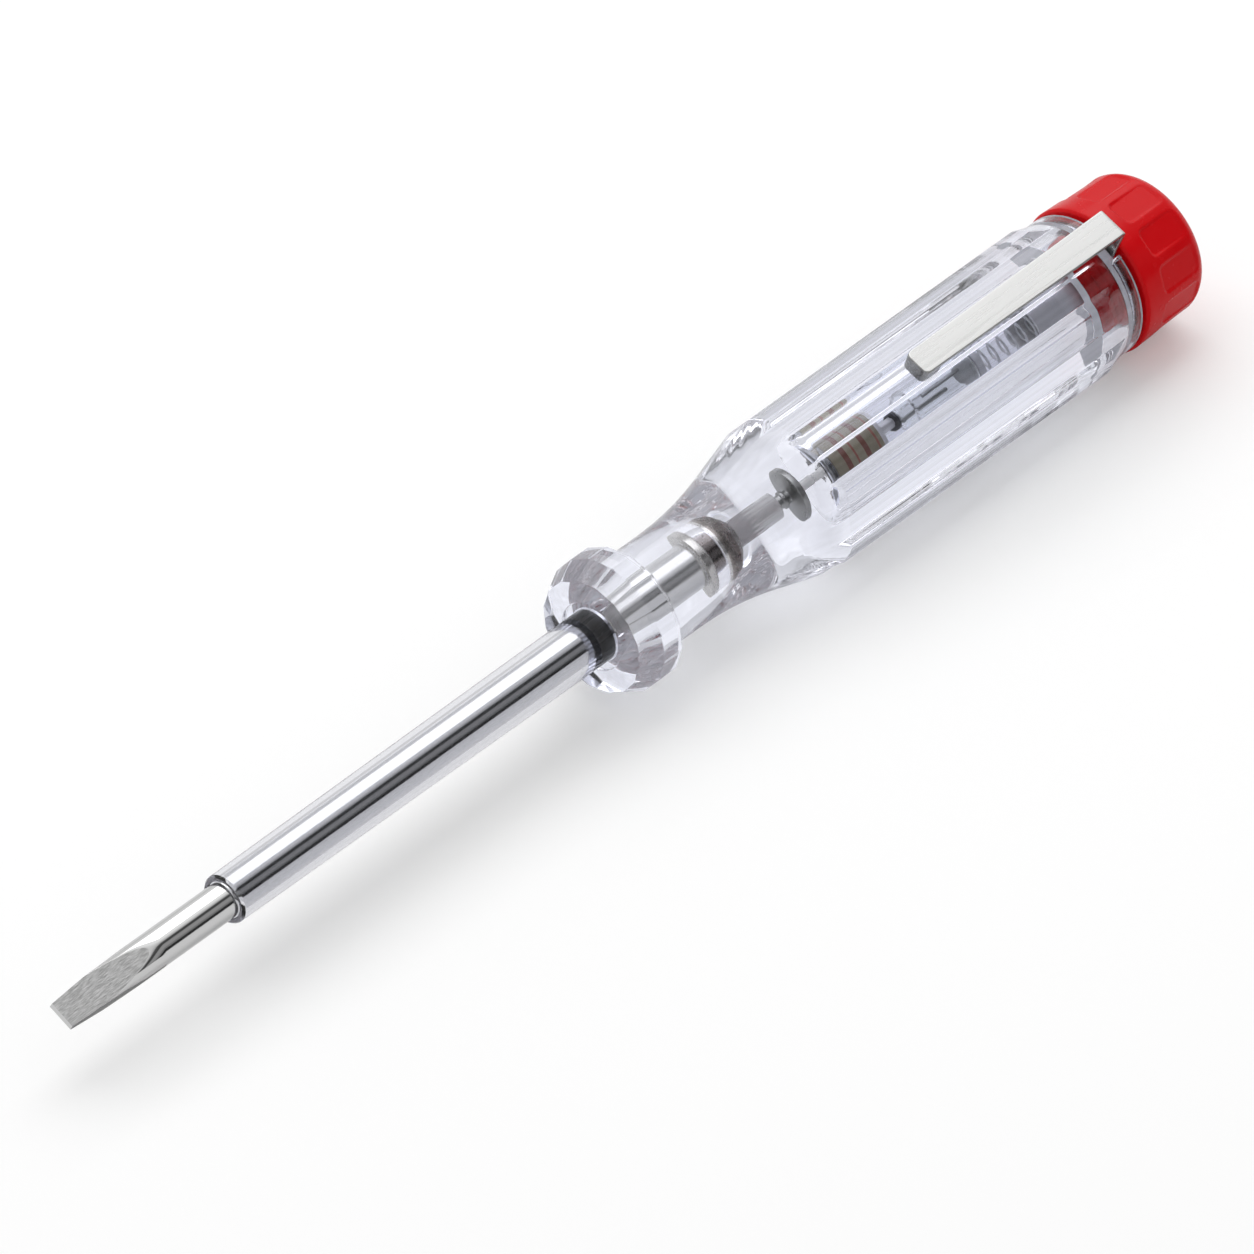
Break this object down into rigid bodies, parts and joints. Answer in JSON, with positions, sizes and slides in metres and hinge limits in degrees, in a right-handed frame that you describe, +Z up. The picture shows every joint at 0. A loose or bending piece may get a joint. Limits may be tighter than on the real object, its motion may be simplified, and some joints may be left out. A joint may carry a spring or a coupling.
{
  "type": "voltage tester screwdriver",
  "caption": "Slim voltage tester screwdriver: slotted steel blade in a clear sleeve, clear fluted handle with resistor and neon lamp inside, pocket clip and red screw cap.",
  "frame": {"origin": "on the ground plane, under the middle of the tool's length and of its width", "axes": "+X runs along the tool's axis from the blade's tip to the cap, +Z is up with the tool lying on two ridges of its grip"},
  "size_m": [0.145, 0.015, 0.0171],
  "materials": {
    "clear_plastic": "clear, polished",
    "clear_sleeve": "clear, polished",
    "bright_steel": "bright plated steel",
    "satin_steel": "satin plated spring steel",
    "tinned_metal": "dull tinned metal",
    "dark_metal": "dark oxidised wire",
    "resistor_coat": "beige coat with reddish bands",
    "lamp_glass": "clear glass tube",
    "red_plastic": "glossy red moulding"
  },
  "bodies": {
    "handle": {"handle": "clear_plastic", "blade": "bright_steel", "blade_sleeve": "clear_sleeve", "blade_ferrule": "satin_steel", "contact_disc": "tinned_metal", "resistor_lead_front": "tinned_metal", "resistor_cap_front": "tinned_metal", "resistor_body": "resistor_coat", "resistor_cap_rear": "tinned_metal", "resistor_lead_rear": "tinned_metal", "lamp_cap_front": "dark_metal", "lamp_glass": "lamp_glass", "lamp_electrode_front": "dark_metal", "lamp_electrode_rear": "dark_metal", "lamp_cap_rear": "tinned_metal", "contact_spring": "bright_steel"},
    "contact_stud": {"spring_cup": "tinned_metal", "contact_stud": "tinned_metal"},
    "cap": {"cap": "red_plastic", "touch_contact": "bright_steel"},
    "pocket_clip": {"pocket_clip": "satin_steel"}
  },
  "joints": [
    {"name": "cap_travel", "type": "slide", "parent": "handle", "child": "contact_stud", "axis": [1, 0, 0], "range_m": [0, 0.00267], "deforming": ["contact_spring"]},
    {"name": "cap_turn", "type": "hinge", "parent": "contact_stud", "child": "cap", "pos_m": [0.0639, 0, 0.00747], "axis": [1, 0, 0], "range_deg": [0, 600]},
    {"name": "clip_flex", "type": "hinge", "parent": "handle", "child": "pocket_clip", "pos_m": [0.06308, 0, 0.00747], "axis": [0, 0.9041, 0.4274], "range_deg": [0, 2.5], "stiffness_Nm_per_rad": 0.5}
  ],
  "couplings": [
    {"joint": "cap_turn", "follows": "cap_travel", "rad_per_m": 3927}
  ]
}
